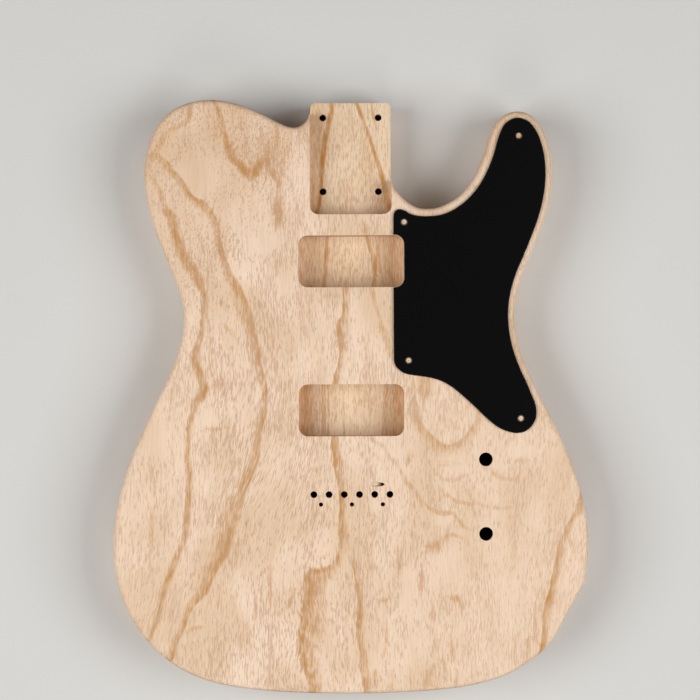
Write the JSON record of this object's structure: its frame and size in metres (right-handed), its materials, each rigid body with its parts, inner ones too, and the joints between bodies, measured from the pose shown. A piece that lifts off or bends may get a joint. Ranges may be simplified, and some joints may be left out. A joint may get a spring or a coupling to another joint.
{
  "type": "electric guitar body",
  "caption": "Bare ash electric guitar body with one cutaway, bolt-on neck pocket, two pickup cavities, rear-routed controls, black guard and back cover.",
  "frame": {"origin": "on the neck's centre line, halfway along the body, on the back face", "axes": "+X toward the treble side, +Y toward the neck, +Z out of the front face"},
  "size_m": [0.3245, 0.4056, 0.0465],
  "materials": {
    "ash": "raw, machine sanded",
    "guard_plastic": "smooth sheet with a cut edge",
    "cover_plastic": "fine texture",
    "screw_steel": "blackened"
  },
  "bodies": {
    "root": {"bass_board": "ash", "treble_board": "ash", "pickguard": "guard_plastic", "control_cover": "cover_plastic", "cover_screw_1": "screw_steel", "cover_screw_2": "screw_steel", "cover_screw_3": "screw_steel", "cover_screw_4": "screw_steel", "cover_screw_5": "screw_steel", "cover_screw_6": "screw_steel"}
  },
  "joints": []
}
